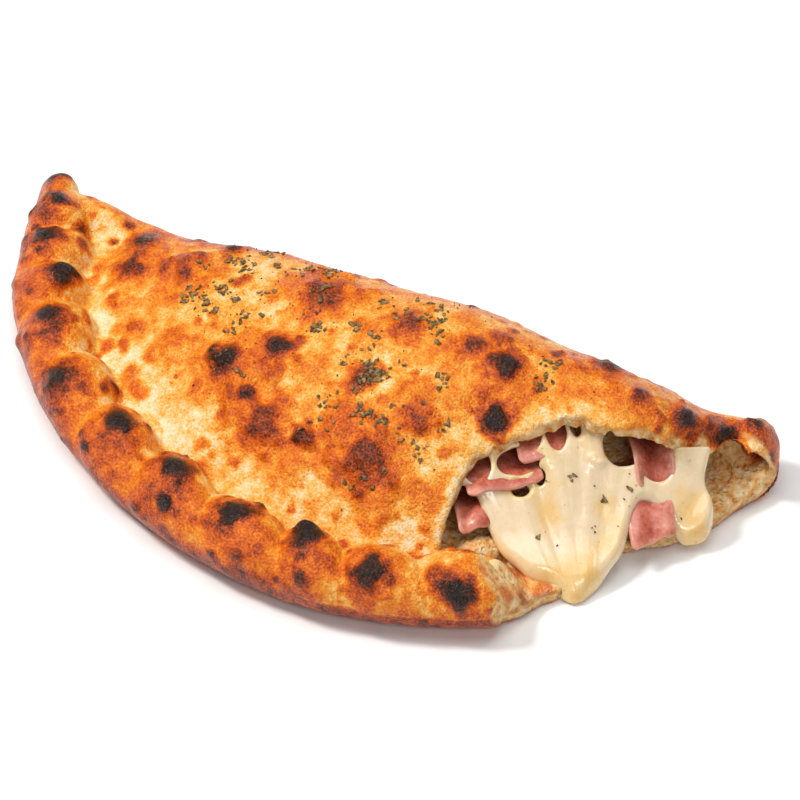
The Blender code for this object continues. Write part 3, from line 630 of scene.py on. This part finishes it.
def make_cheese(whole):
    a, o, z = np.meshgrid(
        *((s + np.arange(n)) * FINE for s, n in zip(FILL_ORIGIN, FILL_SHAPE)), indexing="ij", sparse=True
    )
    flat_a, flat_o = a[:, :, 0], o[:, :, 0]
    pa, po = np.broadcast_arrays(flat_a, flat_o)
    spots = np.stack([pa, po, 0 * pa], -1)
    # folds fan out from where it runs over the edge
    fan, far = np.arctan2(pa - 76, 96 - po), np.hypot(pa - 76, 96 - po)
    drawn = np.stack([fan * 52, far / 5, 0 * fan], -1)
    folds = noise(drawn, 3.4, 61) * 0.4 + noise(drawn, 8, 62) * 1.0
    stretched = 1 - blend(44, 66, po)
    top = curtain_height(pa, po) + folds * (0.3 + 0.9 * stretched) + 0.35 * noise(spots, 9, 63)
    depth = outline_depth(CHEESE_OUTLINE, pa, po) + 0.5 * noise(spots, 6, 64)
    holes = np.full(pa.shape, 1e3)
    for ha, ho, ra, ro in CHEESE_HOLES:
        k = np.hypot((pa - ha) / ra, (po - ho) / ro)
        holes = smooth_min(holes, (k - 1) * min(ra, ro), 0.8)
    holes = holes + 0.25 * noise(spots, 3, 65)
    thick = np.interp(po, (18, 34, 46, 60, 72, 78), (1.3, 1.1, 1.9, 2.9, 3.6, 3.6))
    steep = np.hypot(1, np.gradient(top, FINE, axis=1))
    rise = ((z - top[..., None]) / steep[..., None] + thick[..., None])
    edge = np.minimum(depth, holes)[..., None]
    sheet = np.hypot(rise, np.maximum(thick[..., None] - edge, 0)) - thick[..., None]
    # the mass of cheese under its lower half
    body = smooth_max((z - top[..., None] + 0.8) / steep[..., None], -depth[..., None] + 0.3, 5)
    body = smooth_max(body, np.maximum(44 - 0.12 * (pa[..., None] - 60) - o, -9), 4)
    open_hole = smooth_max(-holes[..., None] - 1.5, top[..., None] - 14 - z, 2)
    body = smooth_max(body, -open_hole, 2)
    field = smooth_min(sheet, body, 2)
    # threads between the lid and the sheet
    for ta, to, tz, ba, bo, bz, radius in THREADS:
        step = np.array([ba - ta, bo - to, bz - tz])
        t = np.clip(((a - ta) * step[0] + (o - to) * step[1] + (z - tz) * step[2]) / (step @ step), 0, 1)
        gap = np.sqrt((a - ta - t * step[0]) ** 2 + (o - to - t * step[1]) ** 2 + (z - tz - t * step[2]) ** 2)
        field = smooth_min(field, gap - radius * (1 + 2.2 * (2 * t - 1) ** 4), 1.6)
    x, y = from_mouth(pa, po)
    spots = np.stack(np.broadcast_arrays(x[..., None], y[..., None], z), -1)
    under_lid = sample(whole, spots.reshape(-1, 3), VOXEL, ORIGIN).reshape(field.shape) + LID_COVER
    past_tear = po - curve(UPPER_TEAR, pa) + 1.5
    field = smooth_max(field, under_lid - 4 * np.maximum(past_tear, 0)[..., None], 1)
    lower = curve(LOWER_TEAR, pa) + 0.6
    bottom = np.where(po > lower, 0.8, torn_floor(x, y) - 1.5)
    field = smooth_max(field, bottom[..., None] - z, 0.8)
    points, triangles, quads = surface_of(field, FINE, FILL_ORIGIN)
    points = points.astype(float)
    faces = [f.astype(int) for f in (triangles, quads) if len(f)]
    points, faces = biggest_piece(points, faces)
    normals = vertex_normals(points, faces)
    pool = blend(20, 0, points[:, 2]) * 0.3 + 0.55 * noise(points, 10, 66)
    flow = np.arctan2(points[:, 0] - 76, 96 - points[:, 1]) * 52
    far = np.hypot(points[:, 0] - 76, 96 - points[:, 1])
    points = points + normals * (0.06 * noise(np.stack([flow, far / 6, points[:, 2] / 6], 1), 1.6, 67))[:, None]
    x, y = from_mouth(points[:, 0], points[:, 1])
    faces = [f[:, ::-1] for f in faces]
    return build_mesh("melted_cheese", np.stack([x, y, points[:, 2]], 1), faces,
                      {"pool": pool, "flow": flow / 10, "far": far / 10})


def biggest_piece(points, faces):
    """Only the largest connected piece of a mesh."""
    label = np.arange(len(points))
    while True:
        before = label.copy()
        for f in faces:
            low = label[f].min(1)
            for k in range(f.shape[1]):
                np.minimum.at(label, f[:, k], low)
        label = label[label]
        if (label == before).all():
            break
    keep = label == np.bincount(label).argmax()
    place = np.cumsum(keep) - 1
    return points[keep], [place[f[keep[f[:, 0]]]] for f in faces]


# Threads: along, out, height of the upper end, then the lower end, and the radius
THREADS = (
    (87.5, 25, 36, 88.5, 34, 28, 0.9), (91, 26, 36, 90.5, 36, 27, 0.8),
)

# Ham: the slices of the CAD model, (along from, along to, ruffle, lift, (out, height)...)
HAM = {
    "ham_1": (43, 70.5, 0.5, -0.14, ((4, 15), (16, 19.5), (27, 23), (35, 25), (39.5, 25.4), (42.5, 24.6))),
    "ham_2": (62.5, 84, 0.5, -0.1, ((2, 25), (12, 28), (22, 30), (29, 30.6), (34, 28.8))),
    "ham_3": (38.5, 52, 0.6, -0.3, ((20, 9), (30, 12), (38, 16), (44, 19), (49, 18.5), (52, 16.5))),
    "ham_4": (102.5, 117, 0.7, -0.2, ((8, 18), (18, 21), (28, 23.5), (35, 24), (40, 21.5), (44, 17.5))),
    "ham_5": (97.5, 114.5, 0.6, -0.35, ((20, 8), (32, 12), (42, 15.5), (50, 15), (57, 12), (61, 9.4))),
}
HAM_FOLD = {"ham_4": 3.2}  # how deep a slice is folded down its middle
HAM_THICKNESS = 1.5


def smooth_curve(points, at):
    """A smooth curve through the points, at places from 0 to 1."""
    spots = np.array(points, float)
    spots = np.concatenate([[2 * spots[0] - spots[1]], spots, [2 * spots[-1] - spots[-2]]])
    place = at * (len(spots) - 3)
    k = np.minimum(place.astype(int), len(spots) - 4)
    t = (place - k)[:, None]
    a, b, c, d = (spots[k + j] for j in range(4))
    return b + ((c - a) * t + (2 * a - 5 * b + 4 * c - d) * t**2 + (3 * b - a - 3 * c + d) * t**3) / 2


def make_ham(name, start, end, ruffle, slant, profile, seed):
    """A slice as a thin bent sheet with rounded edges and a paler rim."""
    m, n = 72, 96
    middle, half = (start + end) / 2, (end - start) / 2
    way = np.linspace(0, 1, n + 1)
    spine = smooth_curve(profile, way)
    v = np.linspace(-1, 1, m + 1)[None]
    corner = (1 - 0.22 * np.abs(2 * way - 1) ** 14)[:, None]
    along = middle + half * corner * v + 0.0 * way[:, None]
    out = spine[:, :1] + 0 * v
    z = spine[:, 1:] + ruffle * np.sin(5 * v + 3.2 * way[:, None] + seed)
    z = z + HAM_FOLD.get(name, 0) * (2 * np.hypot(v - 0.1, 0.12) - 1)
    flat = np.stack([along, out, 0 * z], -1)
    z = z + 0.5 * noise(flat, 11, seed) + 0.12 * noise(flat, 4, seed + 1)
    out = out + (slant * (along - middle) + 0.5 * noise(np.stack([along, 0 * out, 0 * z], -1), 5, seed + 2)) * (
        way[:, None] ** 3
    )
    sheet = np.stack([along, out, z], -1)
    across = np.cross(np.gradient(sheet, axis=1), np.gradient(sheet, axis=0))
    across /= np.linalg.norm(across, axis=-1, keepdims=True)
    across *= np.sign(across[..., 2:])
    edge = np.minimum((1 - np.abs(v)) * half, (1 - way[:, None]) * 40)
    thick = HAM_THICKNESS / 2 * np.sqrt(np.clip(1 - (1 - np.clip(edge / 1.1, 0, 1)) ** 2, 0, 1))
    thick = np.maximum(thick, 0.04)
    grain = 0.05 * noise(flat * (1, 1, 1), 1.3, seed + 3)
    upper = sheet + across * (thick + grain)[..., None]
    under = sheet - across * thick[..., None]
    points = np.concatenate([upper.reshape(-1, 3), under.reshape(-1, 3)])
    index = np.arange((n + 1) * (m + 1)).reshape(n + 1, m + 1)
    quads = [np.stack([index[:-1, :-1], index[1:, :-1], index[1:, 1:], index[:-1, 1:]], -1).reshape(-1, 4)]
    quads.append(quads[0][:, ::-1] + index.size)
    for row in (index[0], index[-1, ::-1], index[::-1, 0], index[:, -1]):
        quads.append(np.stack([row[:-1], row[1:], row[1:] + index.size, row[:-1] + index.size], -1))
    x, y = from_mouth(points[:, 0], points[:, 1])
    rim = np.tile((np.exp(-edge / 1.2)).ravel(), 2)
    return build_mesh(name, np.stack([x, y, points[:, 2]], 1), [np.concatenate(quads)], {"rim": rim})


# ---------------------------------------------------------------- herbs

# Where the oregano lies on the lid: x, y, spread, how many clumps
HERB_PATCHES = (
    (-62, 25, 5, 6), (-55, 48, 8, 8), (-32, 52, 7, 6), (-40, 28, 8, 7), (-18, 30, 8, 6), (12, 20, 10, 14),
    (15, 0, 8, 7), (30, -18, 7, 4), (45, 0, 8, 6), (28, 38, 8, 5), (74, 34, 5, 4), (-30, 0, 3, 2),
)
# The larger flakes on the cheese, (along, out)
CHEESE_HERBS = ((80, 40), (90, 48), (66, 56), (100, 45))
CHEESE_SPECKS = 16
PEPPER_COUNT = 150


def flake(rng, size, plump):
    """A crumpled flake with an irregular outline, as points and faces about the origin."""
    n = 9
    turn = np.sort(rng.uniform(0, 2 * np.pi, n) * 0.35 + np.linspace(0, 2 * np.pi, n, endpoint=False) * 0.83)
    reach = size / 2 * rng.uniform(0.6, 1.1, n)
    rim = np.stack([np.cos(turn) * reach * 1.15, np.sin(turn) * reach * 0.7], 1)
    bend = rng.uniform(-0.5, 0.5, 3) / size
    crumple = rng.uniform(-0.09, 0.09, n) * size

    def height(p):
        return bend[0] * p[:, 0] ** 2 + bend[1] * p[:, 1] ** 2 + bend[2] * p[:, 0] * p[:, 1]

    ring = rim * 0.55
    top = np.column_stack([ring, height(ring) + plump / 2 + crumple * 0.6])
    under = np.column_stack([ring, height(ring) - plump / 2 + crumple * 0.6])
    edge = np.column_stack([rim, height(rim) + crumple])
    hubs = np.array([[0, 0, plump / 2], [0, 0, -plump / 2]])
    points = np.concatenate([edge, top, under, hubs])
    k, ahead = np.arange(n), (np.arange(n) + 1) % n
    quads = np.concatenate([
        np.stack([k, ahead, ahead + n, k + n], 1),
        np.stack([ahead, k, k + 2 * n, ahead + 2 * n], 1),
    ])
    triangles = np.concatenate([
        np.stack([k + n, ahead + n, np.full(n, 3 * n)], 1),
        np.stack([ahead + 2 * n, k + 2 * n, np.full(n, 3 * n + 1)], 1),
    ])
    return points, triangles, quads


def scatter(name, rng, spots, trees):
    """One piece made of many flakes, each laid on the surface below its spot: x, y, size, plumpness."""
    all_points, all_triangles, all_quads, count = [], [], [], 0
    for x, y, size, plump in spots:
        hits = [tree.ray_cast(Vector((x * MM, y * MM, 0.1)), Vector((0, 0, -1))) for tree in trees]
        hits = [h for h in hits if h[0] is not None]
        if not hits:
            continue
        place, normal = max(hits, key=lambda h: h[0].z)[:2]
        if normal.z < 0.15:
            continue
        lean = normal + Vector(rng.uniform(-0.3, 0.3, 3))
        turned = lean.to_track_quat("Z", "Y").to_matrix() @ Matrix.Rotation(rng.uniform(0, 6.28), 3, "Z")
        points, triangles, quads = flake(rng, size, plump)
        points = points @ np.array(turned).T + np.array(place) / MM + np.array(normal) * (plump * 0.4 + 0.1)
        all_points.append(points)
        all_triangles.append(triangles + count)
        all_quads.append(quads + count)
        count += len(points)
    faces = [np.concatenate(all_triangles), np.concatenate(all_quads)]
    return build_mesh(name, np.concatenate(all_points), faces)


def add_herbs(dough, cheese):
    rng = np.random.default_rng(12)
    depsgraph = bpy.context.evaluated_depsgraph_get()
    trees = [BVHTree.FromObject(piece, depsgraph) for piece in (dough, cheese)]
    flakes, specks = [], []
    for x, y, spread, clumps in HERB_PATCHES:
        for _ in range(clumps):
            cx, cy = rng.normal((x, y), spread)
            for _ in range(rng.integers(3, 9)):
                fx, fy = rng.normal((cx, cy), 1.9)
                flakes.append((fx, fy, rng.uniform(1.2, 3.4), rng.uniform(0.3, 0.6)))
    for along, out in CHEESE_HERBS:
        for _ in range(3):
            fx, fy = from_mouth(*rng.normal((along, out), 0.8))
            flakes.append((fx, fy, rng.uniform(1.6, 3), rng.uniform(0.25, 0.5)))
    for _ in range(CHEESE_SPECKS):
        fx, fy = from_mouth(rng.uniform(60, 120), rng.uniform(38, 64))
        specks.append((fx, fy, rng.uniform(0.6, 1.3), 0.5))
    for _ in range(PEPPER_COUNT):
        x, y = HERB_PATCHES[rng.integers(len(HERB_PATCHES))][:2]
        specks.append((*rng.normal((x, y), 10), rng.uniform(0.4, 0.95), rng.uniform(0.3, 0.6)))
    return scatter("oregano", rng, flakes, trees), scatter("pepper", rng, specks, trees)


# ---------------------------------------------------------------- materials


def srgb(red, green, blue):
    """A colour named in 0-255 screen values, as Blender's linear one."""
    v = np.array([red, green, blue]) / 255
    return (*np.where(v <= 0.04045, v / 12.92, ((v + 0.055) / 1.055) ** 2.4), 1.0)


class Shader:
    """A node material with short calls for the nodes used here."""

    def __init__(self, name):
        self.material = bpy.data.materials.new(name)
        self.material.use_nodes = True
        self.tree = self.material.node_tree
        self.surface = self.tree.nodes["Principled BSDF"]
        self.place = self.add("ShaderNodeTexCoord").outputs["Object"]

    def add(self, kind, inputs=None, **settings):
        node = self.tree.nodes.new(kind)
        for key, value in settings.items():
            setattr(node, key, value)
        for key, value in (inputs or {}).items():
            self.put(node.inputs[key], value)
        return node

    def put(self, socket, value):
        if isinstance(value, bpy.types.NodeSocket):
            self.tree.links.new(value, socket)
        else:
            socket.default_value = value

    def set(self, **inputs):
        for key, value in inputs.items():
            self.put(self.surface.inputs[key.replace("_", " ")], value)

    def attribute(self, name):
        return self.add("ShaderNodeAttribute", attribute_name=name).outputs["Fac"]

    def noise(self, size, detail=2, vector=None, rough=0.5, distortion=0.0):
        """Noise with features of about this size in mm."""
        inputs = {"Vector": vector or self.place, "Scale": 1000 / size, "Detail": detail,
                  "Roughness": rough, "Distortion": distortion}
        return self.add("ShaderNodeTexNoise", inputs).outputs["Fac"]

    def cells(self, size, feature="F1", vector=None, smooth=None):
        inputs = {"Vector": vector or self.place, "Scale": 1000 / size}
        node = self.add("ShaderNodeTexVoronoi", inputs, feature=feature)
        return node.outputs["Distance"]

    def math(self, operation, *values, clamp=False):
        node = self.add("ShaderNodeMath", operation=operation, use_clamp=clamp)
        for socket, value in zip(node.inputs, values):
            self.put(socket, value)
        return node.outputs[0]

    def range(self, value, low, high, to_low=0.0, to_high=1.0):
        names = ("Value", "From Min", "From Max", "To Min", "To Max")
        inputs = dict(zip(names, (value, low, high, to_low, to_high)))
        return self.add("ShaderNodeMapRange", inputs, interpolation_type="SMOOTHSTEP").outputs["Result"]

    def ramp(self, value, stops):
        node = self.add("ShaderNodeValToRGB", {"Fac": value})
        ramp = node.color_ramp
        while len(ramp.elements) < len(stops):
            ramp.elements.new(0.5)
        for element, (place, colour) in zip(ramp.elements, stops):
            element.position = place
            element.color = srgb(*colour)
        return node.outputs["Color"]

    def mix(self, share, a, b):
        node = self.add("ShaderNodeMix", data_type="RGBA")
        for socket, value in zip((node.inputs["Factor"], node.inputs[6], node.inputs[7]), (share, a, b)):
            self.put(socket, value)
        return node.outputs[2]

    def bump(self, height, depth, strength=1.0, normal=None):
        """Bump from a 0-1 height that stands for this depth in mm."""
        inputs = {"Height": height, "Distance": depth * MM, "Strength": strength}
        if normal:
            inputs["Normal"] = normal
        return self.add("ShaderNodeBump", inputs).outputs["Normal"]


def dough_material():
    s = Shader("baked dough")
    # the baking value read here also carries painted shade on the rim's low outer side
    bake_and_shade, crumb = s.attribute("bake_and_shade"), s.attribute("crumb")
    grains = s.noise(0.85, 2, rough=0.6)
    baked = s.math("ADD", bake_and_shade, s.math("MULTIPLY", s.math("SUBTRACT", grains, 0.5), 0.66))
    broad = s.math("SUBTRACT", s.noise(3.6, 4, rough=0.6), 0.5)
    baked = s.math("ADD", baked, s.math("MULTIPLY", broad, 0.42))
    crust = s.ramp(baked, (
        (0.0, (253, 232, 196)), (0.14, (252, 216, 160)), (0.27, (250, 184, 80)), (0.4, (242, 144, 24)),
        (0.53, (226, 108, 10)), (0.66, (194, 76, 8)), (0.78, (134, 50, 12)), (0.89, (66, 32, 18)),
        (1.0, (34, 21, 17)),
    ))
    torn = s.ramp(s.noise(3.0, 4), ((0.3, (214, 134, 60)), (0.48, (241, 190, 118)), (0.68, (252, 228, 182))))
    s.set(Base_Color=s.mix(crumb, crust, torn))
    charred = s.range(bake_and_shade, 0.78, 0.95)
    rough = s.range(s.noise(3.0, 2), 0.35, 0.65, 0.26, 0.42)
    rough = s.math("ADD", rough, s.math("MULTIPLY", crumb, 0.35), clamp=True)
    s.set(Roughness=rough)
    s.set(Specular_IOR_Level=0.22)
    skin = s.bump(grains, 0.8, 0.9)
    skin = s.bump(s.noise(2.4, 2), 0.9, 0.8, skin)
    skin = s.bump(s.math("MULTIPLY", s.noise(1.7, 2), charred), 1.3, 0.9, skin)
    s.set(Coat_Weight=0.26, Coat_Roughness=0.09, Coat_Normal=s.bump(s.noise(1.2, 2), 1.0, 1.5))
    pores = s.range(s.cells(2.1), 0.0, 0.55)
    s.set(Normal=s.bump(s.math("MULTIPLY", pores, crumb), 0.9, 0.8, skin))
    s.set(Subsurface_Weight=0.06, Subsurface_Radius=(1.0, 0.45, 0.2), Subsurface_Scale=0.0015)
    return s.material


def cheese_material():
    s = Shader("melted cheese")
    pool = s.attribute("pool")
    lengthwise = s.add("ShaderNodeCombineXYZ", {"X": s.attribute("flow"), "Y": s.attribute("far")})
    drawn = s.add("ShaderNodeMapping", {"Vector": lengthwise.outputs[0], "Scale": (1, 0.16, 1)})
    streaks = s.add("ShaderNodeTexNoise", {"Vector": drawn.outputs[0], "Scale": 7.0, "Detail": 3.0})
    streaks = streaks.outputs["Fac"]
    tint = s.math("ADD", pool, s.math("MULTIPLY", s.math("SUBTRACT", s.noise(7, 3), 0.5), 0.9))
    tint = s.math("ADD", tint, s.math("MULTIPLY", s.math("SUBTRACT", streaks, 0.5), 0.3))
    colour = s.ramp(tint, (
        (0.0, (245, 221, 184)), (0.3, (243, 211, 156)), (0.65, (240, 198, 122)), (1.0, (230, 174, 92)),
    ))
    specks = s.range(s.noise(1.7, 2), 0.70, 0.76)
    s.set(Base_Color=s.mix(s.math("MULTIPLY", specks, 0.75), colour, srgb(214, 132, 62)))
    s.set(Roughness=s.range(s.noise(4, 2), 0.35, 0.65, 0.2, 0.34))
    normal = s.bump(streaks, 0.3, 0.3)
    s.set(Normal=s.bump(s.noise(1.4, 2), 0.16, 0.5, normal))
    s.set(Subsurface_Weight=0.5, Subsurface_Radius=(1.0, 0.75, 0.45), Subsurface_Scale=0.0026)
    s.set(Specular_IOR_Level=0.5, Coat_Weight=0.7, Coat_Roughness=0.07)
    return s.material


def ham_material():
    s = Shader("ham")
    rim = s.attribute("rim")
    mottle = s.math("ADD", s.noise(5.5, 4), s.math("MULTIPLY", s.noise(1.1, 2), 0.35))
    meat = s.ramp(mottle, (
        (0.46, (172, 76, 58)), (0.62, (194, 98, 78)), (0.78, (212, 124, 102)), (0.95, (232, 162, 136)),
    ))
    s.set(Base_Color=s.mix(s.math("MULTIPLY", rim, 0.75), meat, srgb(240, 182, 156)))
    s.set(Roughness=s.range(s.noise(2.2, 2), 0.35, 0.65, 0.26, 0.42))
    s.set(Normal=s.bump(s.noise(1.0, 3), 0.25, 0.5))
    s.set(Subsurface_Weight=0.2, Subsurface_Radius=(1.0, 0.35, 0.2), Subsurface_Scale=0.0015)
    s.set(Coat_Weight=0.2, Coat_Roughness=0.15)
    return s.material


def herb_material(name, dark, middle, light):
    s = Shader(name)
    s.set(Base_Color=s.ramp(s.noise(1.6, 3), ((0.35, dark), (0.5, middle), (0.66, light))))
    s.set(Roughness=0.72, Normal=s.bump(s.noise(0.4, 2), 0.15, 0.6))
    return s.material


def floor_material():
    s = Shader("pale floor")
    s.set(Base_Color=s.ramp(s.noise(60, 2), ((0.3, (253, 253, 253)), (0.7, (255, 255, 255)))))
    s.set(Roughness=0.9, Specular_IOR_Level=0.1)
    return s.material


# ---------------------------------------------------------------- camera and light

AZIMUTH, ELEVATION = 28.0, 45.0
TARGET, DISTANCE = Vector((0.0119, 0.0398, -0.0013)), 1.604
FOCAL_LENGTH, SENSOR = 200, 36


def towards(azimuth, elevation):
    a, e = math.radians(azimuth), math.radians(elevation)
    return Vector((math.sin(a) * math.cos(e), -math.cos(a) * math.cos(e), math.sin(e)))


def add_camera():
    data = bpy.data.cameras.new("camera")
    camera = bpy.data.objects.new("camera", data)
    bpy.context.scene.collection.objects.link(camera)
    data.lens, data.sensor_width, data.clip_end = FOCAL_LENGTH, SENSOR, 100
    back = towards(AZIMUTH, ELEVATION)
    camera.location = TARGET + back * DISTANCE
    camera.rotation_mode = "QUATERNION"
    camera.rotation_quaternion = (-back).to_track_quat("-Z", "Y")
    bpy.context.scene.camera = camera


def add_light(name, azimuth, elevation, distance, size, power, colour):
    data = bpy.data.lights.new(name, "AREA")
    data.shape, data.size, data.energy, data.color = "DISK", size, power, colour
    lamp = bpy.data.objects.new(name, data)
    bpy.context.scene.collection.objects.link(lamp)
    back = towards(azimuth, elevation)
    lamp.location = TARGET + back * distance
    lamp.rotation_mode = "QUATERNION"
    lamp.rotation_quaternion = back.to_track_quat("Z", "Y")


def add_studio():
    world = bpy.data.worlds.new("studio")
    world.use_nodes = True
    bpy.context.scene.world = world
    world.node_tree.nodes["Background"].inputs["Color"].default_value = (1, 1, 1, 1)
    world.node_tree.nodes["Background"].inputs["Strength"].default_value = WORLD_LIGHT
    for lamp in LAMPS:
        add_light(*lamp)
    bpy.context.scene.view_settings.view_transform = "Standard"
    mesh = bpy.data.meshes.new("floor")
    half = 6.0
    steps = np.linspace(-half, half, 25)
    grid = [(x, y, FLOOR_LEVEL) for y in steps for x in steps]
    quads = [(r * 25 + c, r * 25 + c + 1, r * 25 + c + 26, r * 25 + c + 25) for r in range(24) for c in range(24)]
    mesh.from_pydata(grid, [], quads)
    floor = bpy.data.objects.new("floor", mesh)
    bpy.context.scene.collection.objects.link(floor)
    floor.data.materials.append(floor_material())
    floor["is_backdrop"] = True


WORLD_LIGHT = 0.16
FLOOR_LEVEL = -0.0003
# name, azimuth, elevation, distance, size, power, colour
LAMPS = (
    ("overhead", 0, 88, 1.7, 1.3, 11, (1.0, 1.0, 1.0)),
    ("key", -70, 55, 1.6, 0.35, 16, (1.0, 0.98, 0.95)),
    ("front", 38, 46, 2.0, 0.6, 7, (1.0, 0.99, 0.97)),
    ("back", 165, 38, 1.8, 0.5, 4.5, (1.0, 0.99, 0.97)),
)


# ---------------------------------------------------------------- the scene

dough, whole_dough = make_crust()
dough.data.materials.append(dough_material())
cheese = make_cheese(whole_dough)
cheese.data.materials.append(cheese_material())
slices = [make_ham(name, *shape, 70 + 5 * k) for k, (name, shape) in enumerate(HAM.items())]
meat = ham_material()
for piece in slices:
    piece.data.materials.append(meat)
oregano, pepper = add_herbs(dough, cheese)
oregano.data.materials.append(herb_material("oregano", (70, 50, 26), (122, 94, 52), (172, 142, 92)))
pepper.data.materials.append(herb_material("pepper", (30, 22, 16), (52, 38, 24), (92, 68, 42)))
add_studio()
add_camera()

for piece, slot in ((dough, "baked_dough"), (cheese, "melted_cheese"), *((p, "ham") for p in slices)):
    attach(piece, "root")
for piece in (oregano, pepper):
    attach(piece, "root")
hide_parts("crust")
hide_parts("cheese")
for piece, node in zip(slices, HAM):
    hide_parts(node)

boxes = [[list(corner) for corner in box] for box in (CAD_BOX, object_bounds())]
